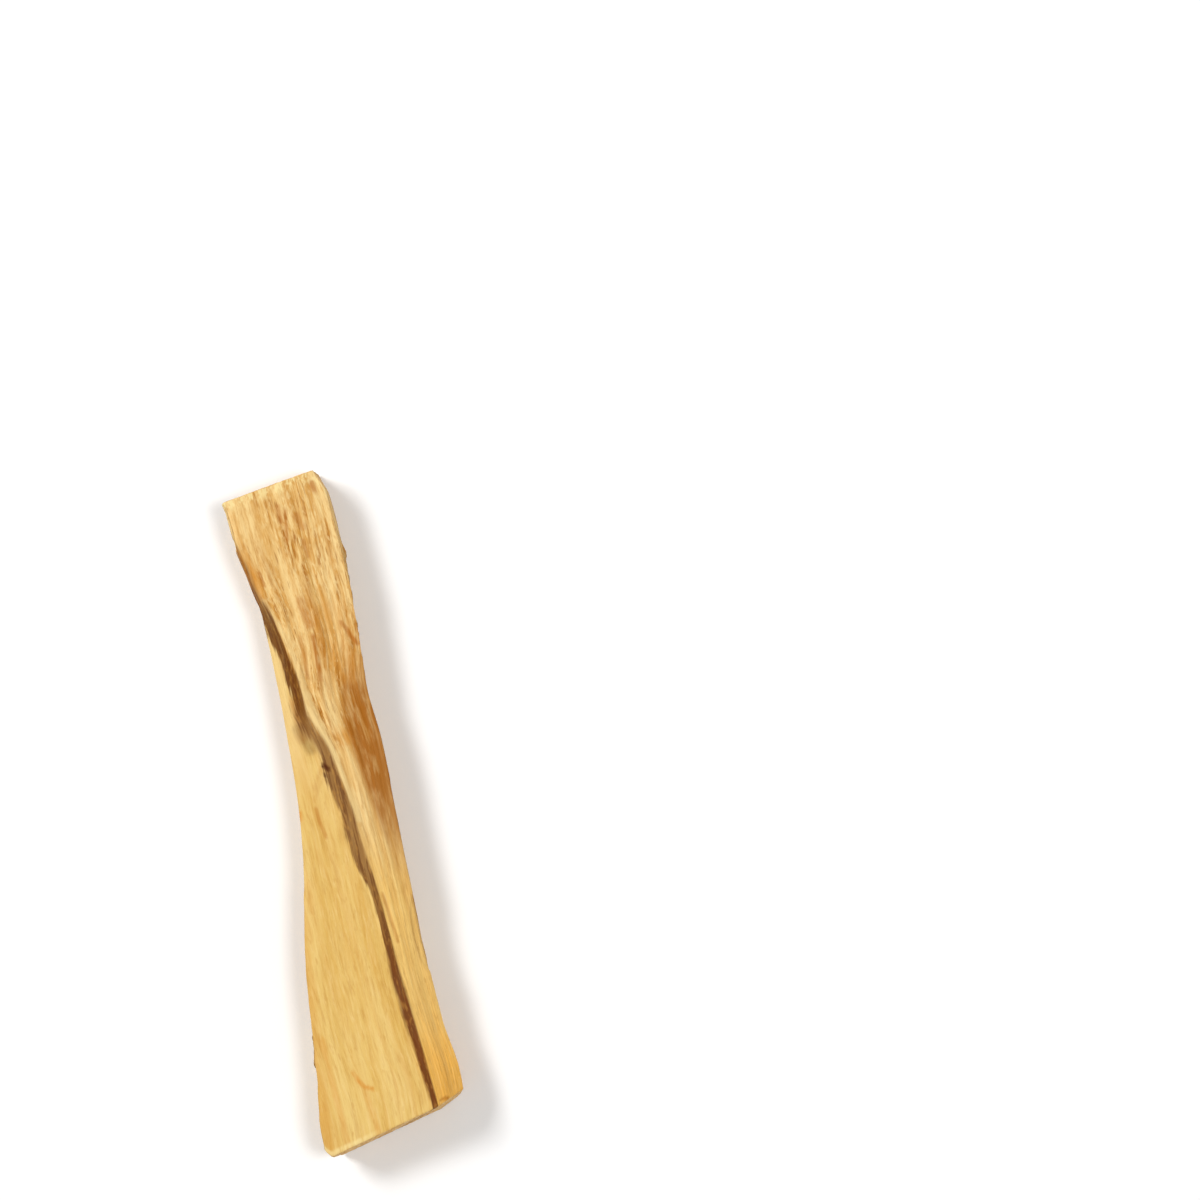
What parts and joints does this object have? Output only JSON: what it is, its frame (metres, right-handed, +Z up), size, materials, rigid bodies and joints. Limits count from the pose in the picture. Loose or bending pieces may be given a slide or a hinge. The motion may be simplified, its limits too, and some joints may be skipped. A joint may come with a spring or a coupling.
{
  "type": "palo santo stick",
  "caption": "Split and sawn stick of palo santo wood, flaring and twisting from a narrow end to a wide one, with a dark vein beside its ridge.",
  "frame": {"origin": "on the surface that the stick lies on, under the middle of its bounding box", "axes": "+X along the stick towards its narrow end, +Z up from the surface that it lies on"},
  "size_m": [0.1018, 0.0218, 0.0133],
  "materials": {
    "wood": "raw split wood, matt, cream to orange with a purple-brown vein"
  },
  "bodies": {
    "root": {"palo_santo_stick": "wood"}
  },
  "joints": []
}
